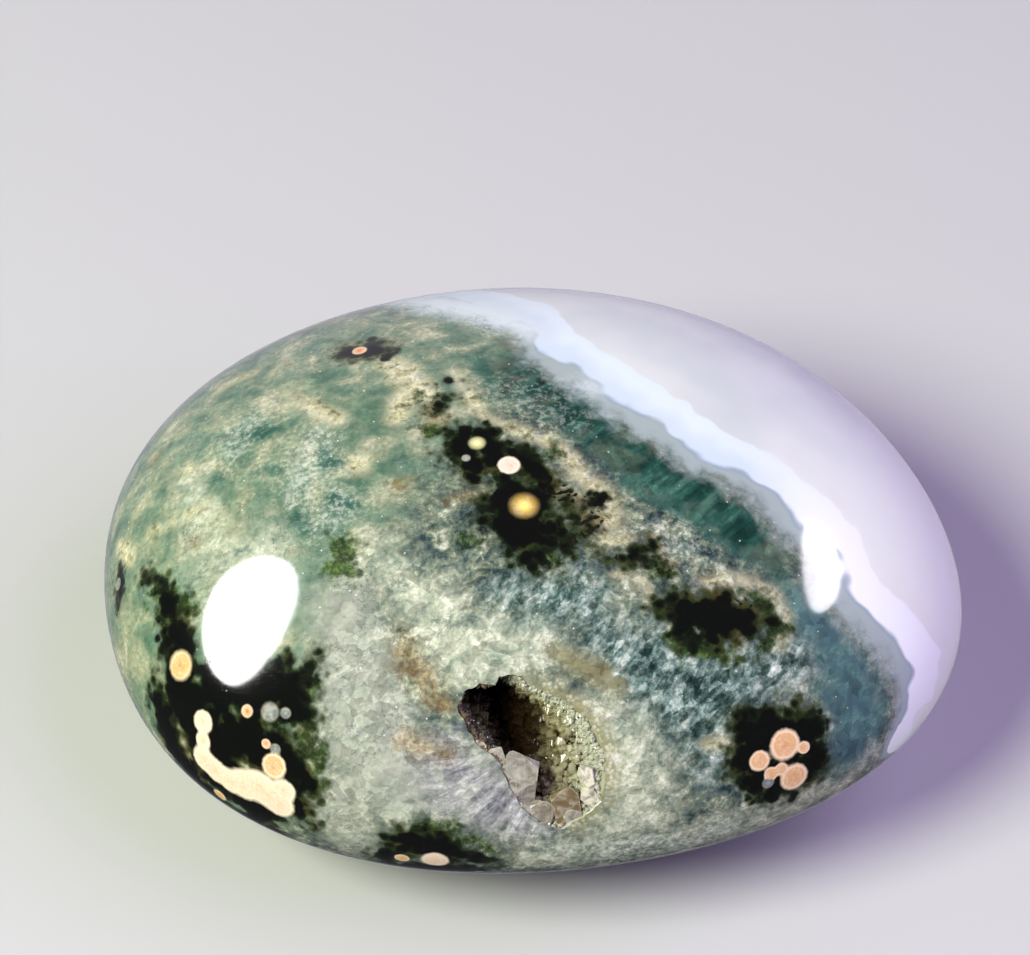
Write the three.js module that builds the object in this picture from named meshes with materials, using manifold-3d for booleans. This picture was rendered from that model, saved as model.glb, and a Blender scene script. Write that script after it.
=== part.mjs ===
import * as THREE from "three";
import { mergeVertices } from "three/addons/utils/BufferGeometryUtils.js";
import Module from "manifold-3d";

// Ocean jasper palm stone: one polished pebble of orbicular jasper, with an open vug on its front
// shoulder whose walls carry a crust of quartz crystals.
// Millimetres. +X is the long axis, -Y is the side the vug faces, +Z is up, and the origin is on the
// surface that the stone rests on, under the middle of its box.

// The pebble.
const LENGTH = 68;
const WIDTH = 56;
const HEIGHT = 30;
const GIRTH_HEIGHT = 13.2;
const FLAT_DEPTH = 0.5;
const PEBBLE_DETAIL = 13;

// How far the pebble's plan departs from an ellipse, as shares of its radius.
const HEAVY_END = 0.077;
const HEAVY_SIDE = 0.017;
const THREE_CORNERS = 0.01;
const THREE_CORNERS_TURN = -0.013;
const FOUR_CORNERS = -0.0055;
const FOUR_CORNERS_TURN = -0.015;

// The vug. Its mouth is centred where the pebble's surface meets this direction.
const VUG_DIRECTION = new THREE.Vector3(0.075, -0.852, 0.518);
const MOUTH_OUTLINE = [
  [-5.0, 2.3],
  [-4.3, 3.4],
  [-3.2, 4.3],
  [-2.0, 4.7],
  [-0.9, 5.2],
  [0.3, 5.0],
  [1.4, 4.3],
  [2.6, 3.7],
  [3.8, 2.3],
  [4.7, 0.6],
  [5.2, -1.3],
  [5.5, -3.1],
  [5.0, -4.6],
  [3.4, -5.5],
  [1.5, -5.3],
  [-0.5, -5.7],
  [-2.7, -5.2],
  [-4.3, -3.8],
  [-5.1, -1.8],
  [-5.4, 0.4],
];
// One row for each section of the vug, from above the surface to its floor: depth, size against the
// mouth, and drift along and up the slope. The hollow runs back under its upper lip.
const VUG_SECTIONS = [
  [-2.5, 1.0, 0.0, -0.2],
  [1.0, 1.02, 0.0, 0.1],
  [2.8, 1.16, -0.3, 1.0],
  [4.8, 1.16, -0.6, 2.1],
  [6.8, 1.0, -0.9, 3.0],
  [8.8, 0.6, -0.9, 3.6],
];

// The crystal crust, which stands clear of the stone by a small gap.
const GAP = 0.35;
const CRUST_THICKNESS = 0.45;
const CRYSTAL_SIDES = 6;
const CRYSTAL_RADIUS = [0.75, 1.25];
const CRYSTAL_LENGTH = [1.2, 2.0];
const CRYSTAL_TIP = 1.1;
const CRYSTAL_ROOT = 0.5;
const CRYSTAL_SPLAY = 0.35;
const CRYSTAL_FOOT = 0.86;
const CRYSTAL_SEED = 11;
// One row for each ring of crystals: depth, how many, and their size against the range above.
const CRYSTAL_RINGS = [
  [1.3, 12, 0.4],
  [3.1, 12, 0.75],
  [4.9, 11, 0.95],
  [6.8, 9, 1.0],
];
const FLOOR_CRYSTALS = 5;
const FLOOR_SPREAD = 1.9;

const wasm = await Module();
wasm.setup();

// A closed three.js geometry as a solid that can be joined and cut.
function solid(geometry) {
  geometry.deleteAttribute("normal");
  geometry.deleteAttribute("uv");
  const merged = mergeVertices(geometry, 1e-3);
  return new wasm.Manifold(
    new wasm.Mesh({
      numProp: 3,
      vertProperties: merged.attributes.position.array,
      triVerts: new Uint32Array(merged.index.array),
    }),
  );
}

// A solid as a named mesh, shaded flat so that each facet shows.
function meshOf(made, name, look) {
  const { vertProperties, triVerts } = made.getMesh();
  const geometry = new THREE.BufferGeometry();
  geometry.setAttribute(
    "position",
    new THREE.BufferAttribute(vertProperties, 3),
  );
  geometry.setIndex(new THREE.BufferAttribute(triVerts, 1));
  geometry.computeVertexNormals();
  const material = new THREE.MeshStandardMaterial({
    ...look,
    flatShading: true,
  });
  const mesh = new THREE.Mesh(geometry, material);
  mesh.name = name;
  return mesh;
}

// A repeatable stream of numbers from 0 to 1.
function stream(seed) {
  let state = seed;
  return () => {
    state = (state * 1664525 + 1013904223) % 4294967296;
    return state / 4294967296;
  };
}

// The pebble's outline in plan: its radius, against an ellipse, in the direction of a unit vector.
function planRadius({ x, y }) {
  const three = THREE_CORNERS * (x ** 3 - 3 * x * y * y);
  const threeTurned = THREE_CORNERS_TURN * (3 * x * x * y - y ** 3);
  const four = FOUR_CORNERS * (x ** 4 - 6 * x * x * y * y + y ** 4);
  const fourTurned = FOUR_CORNERS_TURN * (4 * x ** 3 * y - 4 * x * y ** 3);
  const heavy = HEAVY_END * x + HEAVY_SIDE * y;
  return 1 + heavy + three + threeTurned + four + fourTurned;
}

// A point of the pebble before it is brought to its length and width. Its underside is rubbed flat.
function roughPoint(direction) {
  const radius = planRadius(direction);
  const reach =
    direction.z > 0 ? HEIGHT - GIRTH_HEIGHT : GIRTH_HEIGHT + FLAT_DEPTH;
  return new THREE.Vector3(
    direction.x * radius,
    direction.y * radius,
    Math.max(direction.z * reach, -GIRTH_HEIGHT) + GIRTH_HEIGHT,
  );
}

// A copy of a geometry with each of its points moved by a function.
function moved(geometry, move) {
  const copy = geometry.clone();
  const places = copy.attributes.position;
  for (let i = 0; i < places.count; i++) {
    const { x, y, z } = move(
      new THREE.Vector3().fromBufferAttribute(places, i),
    );
    places.setXYZ(i, x, y, z);
  }
  return copy;
}

const directions = new THREE.IcosahedronGeometry(1, PEBBLE_DETAIL);
const rough = moved(directions, roughPoint);
rough.computeBoundingBox();
const roughMiddle = rough.boundingBox.getCenter(new THREE.Vector3()).setZ(0);
const toSize = new THREE.Vector3(LENGTH, WIDTH, HEIGHT).divide(
  rough.boundingBox.getSize(new THREE.Vector3()),
);

function pebblePoint(direction) {
  return roughPoint(direction).sub(roughMiddle).multiply(toSize);
}

// The pebble, or a copy of it that lies about inset millimetres below its polished surface.
function pebble(inset) {
  const middle = new THREE.Vector3(0, 0, GIRTH_HEIGHT);
  return solid(
    moved(directions, (direction) => {
      const fromMiddle = pebblePoint(direction).sub(middle);
      return fromMiddle.setLength(fromMiddle.length() - inset).add(middle);
    }),
  );
}

// The vug's own frame: x along the stone, y up the slope, z out of the surface.
function vugFrame() {
  const nearby = 0.01;
  const centre = pebblePoint(VUG_DIRECTION.clone().normalize());
  const towards = (x, z) => {
    const direction = new THREE.Vector3(x, 0, z).add(VUG_DIRECTION);
    return pebblePoint(direction.normalize()).sub(centre).normalize();
  };
  const along = towards(nearby, 0);
  const outward = along.clone().cross(towards(0, nearby)).normalize();
  const upSlope = outward.clone().cross(along);
  return new THREE.Matrix4()
    .makeBasis(along, upSlope, outward)
    .setPosition(centre);
}

// The vug's section at a depth, between the two rows of VUG_SECTIONS that hold it.
function sectionAt(depth) {
  const last = VUG_SECTIONS.length - 1;
  const next = VUG_SECTIONS.findIndex(([level]) => level >= depth);
  const i = Math.min(Math.max(next, 1), last);
  const [from, to] = [VUG_SECTIONS[i - 1], VUG_SECTIONS[i]];
  const share = (depth - from[0]) / (to[0] - from[0]);
  const [, size, alongDrift, slopeDrift] = from.map((value, column) =>
    THREE.MathUtils.lerp(value, to[column], share),
  );
  return { size, alongDrift, slopeDrift };
}

// The hollow as a solid in its own frame: the mouth's outline carried down from section to section.
// A copy with an inset has its walls and floor about that far inside the hollow's own.
function hollow(inset) {
  const outline = new THREE.Shape(
    MOUTH_OUTLINE.map(([x, y]) => new THREE.Vector2(x, y)),
  );
  const total = MOUTH_OUTLINE.reduce((sum, [x, y]) => sum + Math.hypot(x, y), 0);
  const inside = 1 - (inset * MOUTH_OUTLINE.length) / total;
  const steps = VUG_SECTIONS.length - 1;
  const floor = VUG_SECTIONS[steps][0];
  const straight = new THREE.ExtrudeGeometry(outline, {
    depth: steps,
    steps,
    bevelEnabled: false,
  });
  return solid(
    moved(straight, ({ x, y, z }) => {
      const [depth, size, alongDrift, slopeDrift] =
        VUG_SECTIONS[steps - Math.round(z)];
      return new THREE.Vector3(
        x * size * inside + alongDrift,
        y * size * inside + slopeDrift,
        Math.max(-depth, inset - floor),
      );
    }),
  );
}

// A quartz crystal: a six-sided prism with a pyramid for its tip, its foot at the origin, along +Z.
function crystal(radius, length) {
  const shoulder = Math.max(length - CRYSTAL_TIP * radius, 0);
  const profile = [
    [0, -CRYSTAL_ROOT],
    [radius, -CRYSTAL_ROOT],
    [radius, shoulder],
    [0, length],
  ].map(([x, y]) => new THREE.Vector2(x, y));
  return new THREE.LatheGeometry(profile, CRYSTAL_SIDES).rotateX(Math.PI / 2);
}

// A crystal set at a point of the wall, pointing about to a target inside the hollow.
function plantedCrystal(foot, target, size, random) {
  const between = ([least, most]) => THREE.MathUtils.lerp(least, most, random());
  const radius = size * between(CRYSTAL_RADIUS);
  const length = size * between(CRYSTAL_LENGTH);
  const splay = () => between([-CRYSTAL_SPLAY, CRYSTAL_SPLAY]);
  const aim = target.clone().sub(foot).normalize();
  aim.add(new THREE.Vector3(splay(), splay(), splay())).normalize();
  const up = new THREE.Vector3(0, 0, 1);
  const turn = new THREE.Quaternion().setFromUnitVectors(up, aim);
  const geometry = crystal(radius, length)
    .rotateZ(random() * Math.PI)
    .applyQuaternion(turn)
    .translate(foot.x, foot.y, foot.z);
  return solid(geometry);
}

// A point of the mouth's outline, at a share of the way around it.
function outlinePoint(share) {
  const place = share * MOUTH_OUTLINE.length;
  const corner = Math.floor(place);
  const [from, to] = [corner, corner + 1].map(
    (i) => new THREE.Vector2(...MOUTH_OUTLINE[i % MOUTH_OUTLINE.length]),
  );
  return from.lerp(to, place - corner);
}

// All the crystals: rings down the wall, and a cluster on the floor.
function crystals() {
  const random = stream(CRYSTAL_SEED);
  const made = [];
  for (const [depth, count, size] of CRYSTAL_RINGS) {
    const section = sectionAt(depth);
    const middle = new THREE.Vector2(section.alongDrift, section.slopeDrift);
    const target = new THREE.Vector3(middle.x, middle.y, CRYSTAL_ROOT - depth);
    for (let i = 0; i < count; i++) {
      const wall = outlinePoint((i + random() / 2) / count)
        .multiplyScalar(section.size * CRYSTAL_FOOT)
        .add(middle);
      const foot = new THREE.Vector3(wall.x, wall.y, -depth);
      made.push(plantedCrystal(foot, target, size, random));
    }
  }
  const [depth, , along, upSlope] = VUG_SECTIONS[VUG_SECTIONS.length - 1];
  for (let i = 0; i < FLOOR_CRYSTALS; i++) {
    const angle = (i / FLOOR_CRYSTALS) * 2 * Math.PI;
    const foot = new THREE.Vector3(
      along + FLOOR_SPREAD * Math.cos(angle),
      upSlope + FLOOR_SPREAD * Math.sin(angle),
      2 * CRYSTAL_ROOT - depth,
    );
    made.push(plantedCrystal(foot, new THREE.Vector3(), 1, random));
  }
  return made;
}

const place = vugFrame().toArray();
const stoneSolid = pebble(0).subtract(hollow(0).transform(place));

const lining = hollow(GAP);
const shell = lining.subtract(hollow(GAP + CRUST_THICKNESS));
const crustSolid = crystals()
  .reduce((joined, made) => joined.add(made.intersect(lining)), shell)
  .transform(place)
  .intersect(pebble(GAP));

const stone = new THREE.Group();
stone.add(
  meshOf(stoneSolid, "palm_stone", {
    color: 0x93a596,
    roughness: 0.12,
    metalness: 0,
  }),
  meshOf(crustSolid, "druzy_quartz_crust", {
    color: 0x9a8a62,
    roughness: 0.2,
    metalness: 0,
  }),
);

export default stone;
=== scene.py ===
"""Ocean jasper palm stone: a polished pebble of orbicular jasper with a crystal-lined vug.

Lengths inside the modelling code are millimetres, and meshes are written in metres.
"""
import math
import random
from functools import partial, reduce

import bmesh
import bpy
import numpy as np
from mathutils import Matrix, Vector, noise
from mathutils.bvhtree import BVHTree


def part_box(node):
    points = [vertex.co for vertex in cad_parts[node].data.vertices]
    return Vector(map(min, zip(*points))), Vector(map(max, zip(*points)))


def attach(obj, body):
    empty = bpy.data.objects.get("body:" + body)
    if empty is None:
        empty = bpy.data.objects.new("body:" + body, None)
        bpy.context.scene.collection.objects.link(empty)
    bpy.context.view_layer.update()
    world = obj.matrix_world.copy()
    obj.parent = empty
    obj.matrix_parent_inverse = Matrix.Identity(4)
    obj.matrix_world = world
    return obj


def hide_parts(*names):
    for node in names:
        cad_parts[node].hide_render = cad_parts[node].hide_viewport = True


bl_info = {
    "name": "Ocean Jasper Palm Stone",
    "version": (1, 0, 0),
    "blender": (4, 5, 0),
    "location": "3D View > Sidebar > Palm Stone",
    "description": "Builds a polished ocean jasper pebble and its crystal-lined vug",
    "category": "Add Mesh",
}

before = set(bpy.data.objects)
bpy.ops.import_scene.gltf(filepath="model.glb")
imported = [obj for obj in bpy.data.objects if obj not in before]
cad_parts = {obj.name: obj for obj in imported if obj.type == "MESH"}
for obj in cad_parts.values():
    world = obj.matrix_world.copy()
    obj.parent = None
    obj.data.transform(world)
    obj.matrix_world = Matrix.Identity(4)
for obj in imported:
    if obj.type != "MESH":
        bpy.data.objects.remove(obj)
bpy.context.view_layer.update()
STONE_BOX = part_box("palm_stone")
MM = 1000.0

# The photograph's frame, in pixels. The lists of markings below are given in it, each point as
# (across, down, radius in millimetres), and a stroke joins its points.
PHOTO_WIDTH = 1030
PHOTO_HEIGHT = 955
STONE_CENTRE = (532, 580)
EDGE_SLIDE = 0.005
EDGE_SLIDES = 12

# Upper edge of the white agate band, from its hazy start at the back to the heavy end.
BAND_EDGE = (
    (531, 300), (561, 312), (570, 332), (601, 349), (622, 363), (644, 379), (671, 396),
    (699, 413), (733, 438), (766, 450), (791, 468), (806, 483), (831, 505), (855, 526),
    (867, 551), (880, 578), (898, 597), (916, 615), (928, 632), (938, 653), (939, 678),
    (928, 714), (910, 742),
)

# Black moss clouds.
MOSS = (
    ((462, 430, 0.8), (464, 452, 1.4), (478, 468, 1.2)),
    ((482, 436, 1.2), (500, 462, 1.6), (522, 460, 1.3), (540, 474, 1.3)),
    ((540, 474, 1.3), (545, 495, 1.1), (520, 506, 2.7)),
    ((503, 476, 0.9), (514, 492, 1.3)),
    ((498, 505, 0.8), (479, 507, 0.3)),
    ((498, 516, 0.8), (479, 519, 0.3)),
    ((524, 532, 2.5), (530, 554, 1.2)),
    ((540, 540, 1.4), (563, 548, 0.6)),
    ((552, 530, 0.9), (567, 540, 0.5)),
    ((566, 500, 0.35), (570, 512, 0.4), (580, 521, 0.5)),
    ((590, 506, 0.35), (600, 500, 0.2)),
    ((586, 530, 0.4), (572, 540, 0.5)),
    ((446, 385, 0.35), (440, 412, 0.35)),
    ((604, 558, 0.15), (622, 560, 0.3), (645, 558, 0.5), (660, 562, 0.4)),
    ((636, 552, 0.25), (652, 546, 0.3)),
    ((664, 606, 1.0), (692, 615, 1.8), (725, 617, 2.0), (752, 621, 1.4), (768, 622, 0.7)),
    ((690, 636, 0.7), (722, 640, 0.8)),
    ((745, 728, 1.4), (770, 738, 2.3), (798, 734, 2.0), (818, 730, 0.8)),
    ((750, 760, 1.9), (775, 778, 2.1), (800, 774, 1.8), (812, 756, 1.5)),
    ((385, 856, 0.9), (412, 842, 1.5), (440, 848, 1.7), (468, 856, 1.2), (484, 862, 0.6)),
    ((400, 866, 1.4), (440, 869, 1.4), (466, 868, 0.9)),
    ((163, 592, 0.5), (172, 604, 0.9), (176, 630, 1.3), (178, 652, 1.8)),
    ((176, 668, 2.0), (186, 694, 2.5), (204, 738, 2.8), (232, 782, 2.5), (262, 812, 1.8)),
    ((215, 688, 2.2), (250, 694, 2.2), (282, 684, 1.9), (300, 674, 1.0), (312, 664, 0.5)),
    ((290, 706, 1.8), (304, 716, 1.0)),
    ((160, 700, 1.4), (172, 740, 1.8), (196, 780, 1.8), (230, 812, 1.6), (262, 838, 1.2)),
    ((240, 736, 2.6), (272, 750, 2.3), (296, 772, 1.6), (312, 786, 0.8)),
    ((288, 800, 1.6), (300, 812, 1.0)),
    ((118, 576, 0.5), (120, 594, 0.6)),
    ((145, 577, 0.35), (150, 579, 0.2)),
    ((350, 352, 1.3), (366, 350, 1.4), (384, 353, 0.6)),
)

# Moss-green tufts and fringes, without black in them.
GREEN_MOSS = (
    ((341, 546, 0.9), (345, 558, 1.2), (338, 566, 0.9), (352, 568, 0.9)),
    ((160, 592, 1.1), (176, 604, 1.3), (190, 612, 0.7)),
    ((552, 458, 0.6),),
    ((548, 556, 0.7), (560, 562, 0.5)),
    ((756, 604, 1.0), (774, 624, 1.1), (768, 642, 0.8)),
    ((684, 640, 1.4), (722, 648, 1.2)),
    ((428, 428, 0.7), (424, 436, 0.4)),
    ((655, 566, 0.6), (668, 572, 0.5)),
    ((306, 742, 1.1), (312, 760, 0.9), (318, 786, 0.9)),
    ((300, 700, 1.3), (312, 690, 0.7)),
    ((420, 824, 0.7), (450, 830, 0.9), (486, 848, 0.6)),
    ((466, 538, 0.5),),
    ((418, 400, 0.4), (424, 392, 0.3)),
)

# Black flecks in the cream vein.
FLECKS = (
    ((552, 488, 1.2), (578, 508, 1.5), (596, 522, 1.1), (570, 540, 1.0)),
    ((610, 558, 0.5), (640, 556, 0.9), (668, 572, 0.8)),
    ((424, 402, 0.7), (440, 412, 0.7)),
    ((716, 600, 0.5), (748, 604, 0.6)),
    ((395, 344, 0.5),),
)

# Iron staining, brown and tan.
RUST = (
    ((404, 636, 0.8), (410, 662, 1.3), (428, 684, 1.1), (444, 704, 0.7)),
    ((404, 738, 0.9), (424, 746, 0.8), (446, 754, 0.6)),
    ((432, 404, 0.8), (436, 420, 0.9), (428, 430, 0.5)),
    ((556, 492, 0.6), (584, 512, 1.1), (596, 524, 0.8)),
    ((552, 474, 0.5),),
    ((452, 500, 0.5), (480, 494, 0.4)),
    ((404, 484, 0.7),),
    ((196, 541, 0.6),),
    ((154, 460, 0.7),),
    ((398, 342, 0.4), (344, 344, 0.4)),
    ((652, 540, 0.5), (672, 566, 0.4)),
    ((116, 600, 0.4), (118, 570, 0.3)),
)

# Cream and tan chalcedony: the vein between the moss and the teal, and scattered patches.
CREAM = (
    ((384, 358, 0.9), (402, 372, 1.4), (424, 392, 1.3)),
    ((404, 398, 1.3), (398, 418, 1.0)),
    ((452, 372, 0.5), (470, 398, 0.6), (484, 416, 0.5), (505, 426, 0.6), (545, 440, 0.7)),
    ((545, 440, 0.7), (566, 452, 0.7), (580, 474, 0.9), (600, 492, 0.9), (612, 518, 0.9)),
    ((604, 540, 0.6), (626, 540, 0.5)),
    ((618, 574, 0.4), (640, 582, 0.5), (650, 596, 0.3)),
    ((700, 582, 0.4), (740, 580, 0.5), (772, 592, 0.6), (786, 618, 0.5), (780, 646, 0.4)),
    ((708, 744, 0.5), (724, 743, 0.4)),
    ((186, 466, 0.5), (192, 470, 0.4)),
    ((152, 458, 0.5),),
    ((120, 545, 0.7), (132, 560, 0.7)),
    ((216, 392, 0.4), (240, 378, 0.5), (256, 372, 0.3)),
    ((300, 402, 0.5), (322, 414, 1.0), (338, 420, 0.8)),
    ((176, 742, 0.4), (184, 756, 0.35)),
    ((360, 464, 1.0),),
    ((200, 508, 0.4), (180, 520, 0.4), (150, 532, 0.3)),
    ((300, 730, 0.5), (308, 748, 0.4)),
)

# Deep teal, glassy chalcedony.
TEAL = (
    ((472, 356, 0.9), (482, 368, 0.9), (490, 384, 0.9), (494, 396, 0.5)),
    ((576, 432, 1.0), (600, 444, 1.2), (624, 458, 1.4)),
    ((636, 478, 1.5), (660, 488, 2.0), (690, 502, 2.0), (722, 524, 1.9), (748, 546, 1.4)),
    ((262, 434, 0.9), (270, 428, 0.7)),
    ((218, 482, 1.0),),
    ((300, 518, 1.0), (305, 528, 0.9)),
    ((328, 460, 0.9), (338, 464, 0.6)),
    ((262, 468, 0.45), (282, 471, 0.30)),
    ((334, 496, 0.5), (352, 504, 0.5)),
    ((404, 458, 0.6), (410, 466, 0.5)),
    ((780, 580, 0.7), (770, 560, 0.7)),
)

# White granular quartz. The stroke along the lower edge is painted light: it whitens stone that the lamps
# light less.
QUARTZ_AND_LOWER_LIGHT = (
    ((318, 434, 1.2), (308, 470, 1.6), (296, 500, 1.0)),
    ((250, 420, 1.0), (232, 450, 1.2)),
    ((520, 394, 0.6), (545, 410, 0.9), (560, 418, 0.5)),
    # Painted light along the lower edge.
    ((560, 852, 1.3), (640, 848, 1.6), (720, 834, 1.3)),
    ((340, 500, 1.2), (330, 520, 1.2)),
    ((664, 540, 0.5), (684, 550, 0.6)),
)

# The speckled blue-grey and white glassy field, right of the vug.
GLASS = (
    ((500, 592, 0.8), (540, 600, 1.4), (580, 600, 1.8)),
    ((600, 640, 1.6), (650, 665, 2.6), (690, 690, 3.2), (730, 690, 2.6)),
    ((700, 730, 2.0), (715, 762, 1.4)),
    ((760, 670, 1.8), (800, 660, 1.4)),
)

# Clear lavender-grey quartz in columns, below the vug and beside the dark moss.
COLUMNS = (
    ((345, 610, 2.4), (350, 660, 3.0), (360, 720, 3.6), (385, 780, 3.6)),
    ((440, 780, 3.4), (490, 800, 3.0), (525, 822, 2.0)),
    ((340, 800, 2.6), (350, 840, 2.0)),
)

# Pale, smooth chalcedony around the vug.
PALE = (
    ((440, 600, 1.6), (450, 650, 2.2), (500, 650, 2.0), (540, 640, 1.6)),
    ((600, 720, 2.0), (630, 760, 3.2), (640, 810, 2.6), (600, 840, 1.8)),
    ((420, 600, 1.6), (380, 560, 1.6)),
    ((190, 484, 1.0), (210, 560, 1.4), (270, 545, 1.2)),
    ((540, 856, 1.6), (600, 850, 1.8), (680, 842, 1.8), (760, 822, 1.6), (830, 792, 1.6), (866, 760, 1.0)),
)

# Slate-coloured translucent chalcedony under the heavy end of the band.
SLATE = (
    ((830, 640, 2.0), (850, 680, 2.6), (860, 720, 2.6), (850, 750, 2.0)),
    ((790, 600, 1.4), (815, 625, 1.6)),
)

# Pale haze over the start of the band.
HAZE = (
    ((400, 300, 1.6), (440, 304, 2.2), (490, 312, 2.2), (530, 330, 1.4)),
    ((590, 386, 0.5),),
)

# Olive-grey smudges and the brown druse that shows through beside the vug.
OLIVE = (
    ((556, 652, 0.8), (590, 668, 1.1), (614, 686, 0.8)),
    ((512, 344, 0.8), (526, 338, 0.5)),
    ((582, 400, 0.8), (590, 404, 0.5)),
    ((290, 336, 0.6), (330, 322, 0.6)),
    ((545, 700, 0.6), (572, 716, 1.4), (578, 740, 1.6), (584, 768, 1.2)),
)

# The right-hand edge of the vug's slope, where it fades into the polish.
SLOPE_EDGE = (
    ((528, 682, 0.25), (560, 698, 0.35), (590, 720, 0.45), (604, 750, 0.55), (608, 782, 0.5)),
    ((608, 782, 0.5), (598, 806, 0.35), (578, 824, 0.2)),
)

# Orbs: across, down, radius in millimetres, and colour.
ORBS = (
    (477, 443, 0.64, "straw"),
    (466, 458, 0.34, "grey"),
    (509, 465, 0.86, "pink"),
    (524, 505.5, 1.06, "gold"),
    (359.5, 350.5, 0.60, "amber"),
    (785, 744.6, 1.22, "peach"),
    (759.5, 761, 0.82, "peach"),
    (804, 747.5, 0.50, "peach"),
    (794, 777, 1.14, "peach"),
    (771, 774, 0.58, "peach"),
    (781, 769, 0.50, "peach"),
    (768, 783, 0.46, "grey"),
    (435, 860, 1.05, "cream"),
    (402, 858, 0.58, "peach"),
    (180.6, 665.5, 1.16, "tan"),
    (203, 722, 0.92, "cream"),
    (203, 741, 0.72, "cream"),
    (204, 759, 1.12, "cream"),
    (216, 771, 1.10, "cream"),
    (230, 781, 1.12, "cream"),
    (244, 785, 1.40, "cream"),
    (257, 786, 1.35, "cream"),
    (268, 794, 1.35, "cream"),
    (279, 804, 1.25, "cream"),
    (284, 791, 0.95, "cream"),
    (274, 766, 1.00, "peach"),
    (266, 743.7, 0.38, "amber"),
    (275.5, 749, 0.40, "grey"),
    (247, 711, 0.50, "amber"),
    (269.8, 712, 0.72, "grey"),
    (285.7, 713, 0.42, "grey"),
    (220, 795, 0.60, "tan"),
    (118, 584, 0.50, "grey"),
)

# The edge of the vug, round the dark hollow and the crystal slope at its right, and the point
# over the hollow's deepest part.
MOUTH = (
    (457, 708), (465, 692), (480, 684), (494, 685), (499, 677), (509, 674), (524, 677),
    (530, 685), (542, 690), (558, 698), (574, 708), (590, 722), (600, 740), (606, 762),
    (605, 784), (600, 802), (584, 818), (560, 830), (541, 823), (521, 808), (509, 786),
    (501, 764), (490, 754), (478, 746), (468, 730),
)
DEEP_POINT = (505, 716)

# Crystals of the vug's rim: across and down of the tip, radius, length, how far the crystal
# leans along the stone and up its slope, its turn about its own axis in degrees, and its tone
# from iron-stained at 0 to milky at 1.
RIM_CRYSTALS = (
    (521, 755, 1.60, 4.4, 0.05, 1.6, 10, 0.55), (500, 752, 0.95, 3.2, 0.7, 1.3, 25, 0.25),
    (485, 744, 0.70, 2.6, 1.1, 0.9, 40, 0.40), (563, 790, 1.35, 3.4, -0.35, 1.5, 20, 0.18),
    (543, 802, 1.05, 3.0, 0.1, 1.2, 35, 0.50), (583, 768, 0.75, 3.0, -0.5, 1.1, 15, 1.00),
    # The crystal tipped at 583, 792 takes the palest milky tone, partly as a painted highlight.
    (583, 792, 0.85, 2.6, -0.9, 0.7, 0, 1.00), (511, 784, 0.95, 2.8, 0.6, 1.0, 5, 0.60),
    (572, 812, 0.75, 2.4, -0.3, 0.9, 50, 0.65), (527, 806, 0.65, 2.4, 0.4, 0.8, 20, 0.70),
)

# Markings on the sides that the photograph doesn't show, in millimetres on the stone:
# along, across, height and radius.
HIDDEN_MOSS = (
    ((-18, 22, 15, 2.4), (-12, 24, 13, 2.2), (-8, 25, 11, 1.2)),
    ((-26, 15, 14, 1.6), (-27, 15, 10, 1.8)),
    ((2, 27, 12, 1.0), (5, 26.5, 9, 1.5)),
    ((-14, -14, 1.5, 3.2), (-8, -17, 2.5, 2.6), (-4, -12, 1, 2.0)),
    ((-20, 6, 1.5, 2.4), (-14, 8, 1, 1.8)),
    ((4, 10, 0.5, 2.6), (8, 13, 1.5, 1.8)),
    ((16, -10, 2.5, 1.6), (20, -6, 4, 1.2)),
)
HIDDEN_ORBS = (
    (-17, 22.5, 15, 1.3, "peach"),
    (-14, 23.6, 14, 0.7, "cream"),
    (-11, 23.4, 13, 0.9, "cream"),
    (-27, 15, 12, 1.0, "gold"),
    (-15, -13, 1.5, 1.4, "cream"),
    (-11.5, -15, 2, 0.9, "peach"),
    (-6, -16, 2.2, 1.1, "tan"),
    (-18, 6.5, 1.2, 1.0, "straw"),
    (5, 11, 0.6, 1.2, "peach"),
    (7.5, 13, 1.4, 0.6, "cream"),
)


def hex_colour(text):
    """An sRGB hex colour as linear red, green, blue and alpha."""
    channels = [int(text[i:i + 2], 16) / 255 for i in (1, 3, 5)]
    linear = [c / 12.92 if c <= 0.04045 else ((c + 0.055) / 1.055) ** 2.4 for c in channels]
    return (*linear, 1.0)


def colour_property(name, description, default):
    return bpy.props.FloatVectorProperty(
        name=name, description=description, default=hex_colour(default),
        subtype="COLOR", size=4, min=0.0, max=1.0,
    )


# Orb colours: shell, heart, and how deep and so how blurred the orb lies, from 0 to 1.
ORB_COLOURS = {
    "peach": ("#e8c498", "#d3a06e", 0.05),
    "cream": ("#f1e3d4", "#e5c6a8", 0.15),
    "tan": ("#dccb98", "#cd9048", 0.30),
    "gold": ("#8f651a", "#f8e07c", 1.00),
    "straw": ("#8f9050", "#eef0b0", 0.80),
    "pink": ("#f3e9dc", "#e2bfa9", 0.12),
    "amber": ("#ecdab2", "#cc6a2c", 0.25),
    "grey": ("#4f5858", "#8b9694", 0.65),
}


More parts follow.
